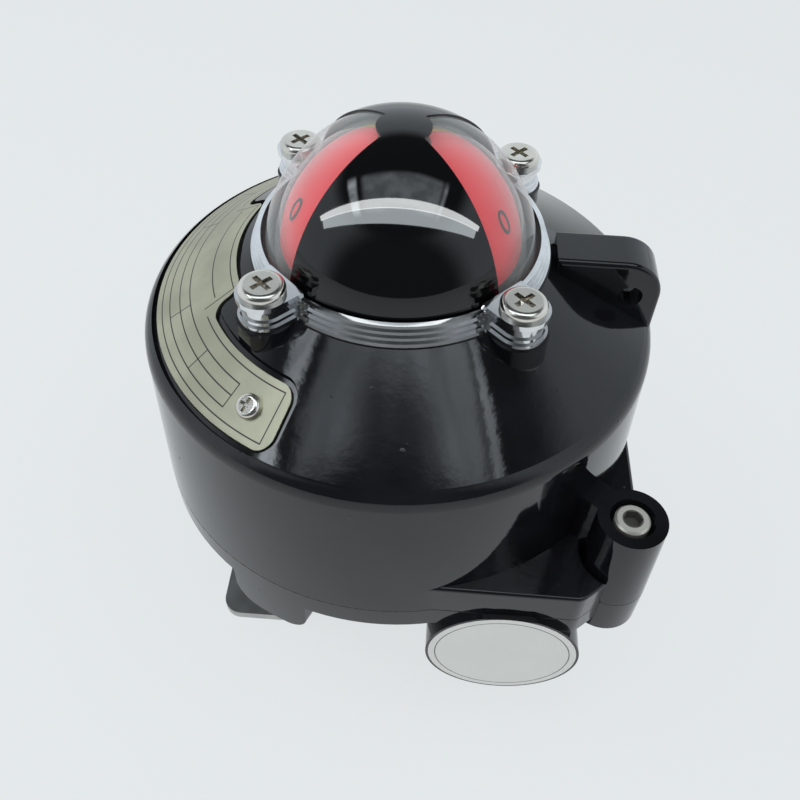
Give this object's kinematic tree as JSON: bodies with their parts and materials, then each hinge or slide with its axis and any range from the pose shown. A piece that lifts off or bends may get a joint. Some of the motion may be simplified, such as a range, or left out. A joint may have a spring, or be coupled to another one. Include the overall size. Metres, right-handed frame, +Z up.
{
  "type": "valve limit switch box",
  "caption": "Round black cast valve limit switch box with a domed position indicator, corner conduit entries, an inner cam-and-switch deck and a folded mounting bridge.",
  "frame": {"origin": "on the shaft axis, on the plane under the bracket's feet", "axes": "+Z up along the shaft towards the indicator dome, -Y out of the front conduit entry, +X out of the side conduit entry"},
  "size_m": [0.1345, 0.133, 0.1649],
  "materials": {
    "black_paint": "gloss black powder coat on die-cast aluminium",
    "chrome": "bright plated",
    "stainless": "turned stainless steel",
    "bracket_steel": "rolled stainless sheet",
    "zinc_steel": "zinc-plated steel",
    "spring_steel": "spring steel",
    "bronze": "sintered bronze",
    "seal_rubber": "matt black nitrile",
    "clear_plastic": "clear polycarbonate",
    "black_plastic": "gloss black",
    "red_plastic": "satin red",
    "yellow_plastic": "satin yellow",
    "carrier_plastic": "black nylon",
    "cam_red": "red nylon",
    "cam_green": "green nylon",
    "nameplate_metal": "bare etched stainless plate",
    "switch_plastic": "black phenolic",
    "plunger_plastic": "red nylon",
    "tab_brass": "bare brass",
    "terminal_plastic": "grey polyamide"
  },
  "bodies": {
    "housing": {"base": "black_paint", "base_bush": "bronze", "bracket": "bracket_steel", "bracket_screws": "stainless", "corner_bolt": "stainless", "cover": "black_paint", "cover_bolts": "stainless", "cover_bush": "bronze", "cover_oring": "seal_rubber", "dome_clear": "clear_plastic", "dome_gasket": "seal_rubber", "dome_mask": "black_plastic", "external_earth_screw": "stainless", "internal_earth_screw": "zinc_steel", "mounting_plate": "zinc_steel", "nameplate": "nameplate_metal", "nameplate_screws": "stainless", "plate_screws": "zinc_steel", "retaining_ring": "chrome", "ring_screws": "stainless", "switch_lower": "switch_plastic", "switch_screws": "zinc_steel", "switch_spacer": "switch_plastic", "switch_tabs_lower": "tab_brass", "switch_tabs_upper": "tab_brass", "switch_upper": "switch_plastic", "terminal_block": "terminal_plastic", "terminal_screws": "zinc_steel", "thrust_washer": "stainless"},
    "shaft": {"main_shaft": "stainless", "shaft_oring": "seal_rubber", "shaft_circlip": "stainless", "cam_hub": "carrier_plastic", "cam_cap": "carrier_plastic", "cam_lower": "cam_red", "cam_upper": "cam_green", "cam_spring": "spring_steel", "indicator_shaft": "stainless", "rotor_carrier": "carrier_plastic", "rotor_red": "red_plastic", "rotor_yellow": "yellow_plastic", "rotor_cap": "carrier_plastic", "rotor_screw": "zinc_steel"},
    "lever_low": {"lever_lower": "spring_steel"},
    "lever_high": {"lever_upper": "spring_steel"},
    "roller_low": {"roller_lower": "spring_steel"},
    "roller_high": {"roller_upper": "spring_steel"},
    "plunger_low": {"plunger_lower": "plunger_plastic"},
    "plunger_high": {"plunger_upper": "plunger_plastic"}
  },
  "joints": [
    {"name": "shaft_turn", "type": "hinge", "parent": "housing", "child": "shaft", "pos_m": [0, 0, 0.05], "axis": [0, 0, 1], "range_deg": [0, 90]},
    {"name": "lever_low_swing", "type": "hinge", "parent": "housing", "child": "lever_low", "pos_m": [-0.0213, -0.012, 0.06915], "axis": [0, 0, 1], "range_deg": [0, 7]},
    {"name": "lever_high_swing", "type": "hinge", "parent": "housing", "child": "lever_high", "pos_m": [-0.0213, -0.012, 0.08345], "axis": [0, 0, 1], "range_deg": [-7, 0]},
    {"name": "roller_low_spin", "type": "hinge", "parent": "lever_low", "child": "roller_low", "pos_m": [-0.0158, 0, 0.06915], "axis": [0, 0, 1], "continuous": true},
    {"name": "roller_high_spin", "type": "hinge", "parent": "lever_high", "child": "roller_high", "pos_m": [-0.0173, 0.00058, 0.08345], "axis": [0, 0, 1], "continuous": true},
    {"name": "plunger_low_press", "type": "slide", "parent": "housing", "child": "plunger_low", "axis": [-1, 0, 0], "range_m": [0, 0.000858]},
    {"name": "plunger_high_press", "type": "slide", "parent": "housing", "child": "plunger_high", "axis": [-1, 0, 0], "range_m": [-0.000858, 0]}
  ],
  "couplings": [
    {"joint": "lever_low_swing", "follows": "shaft_turn", "ratio": 0.077604},
    {"joint": "lever_high_swing", "follows": "shaft_turn", "ratio": -0.077604},
    {"joint": "plunger_low_press", "follows": "shaft_turn", "m_per_rad": 0.00054323},
    {"joint": "plunger_high_press", "follows": "shaft_turn", "m_per_rad": -0.00054323}
  ]
}
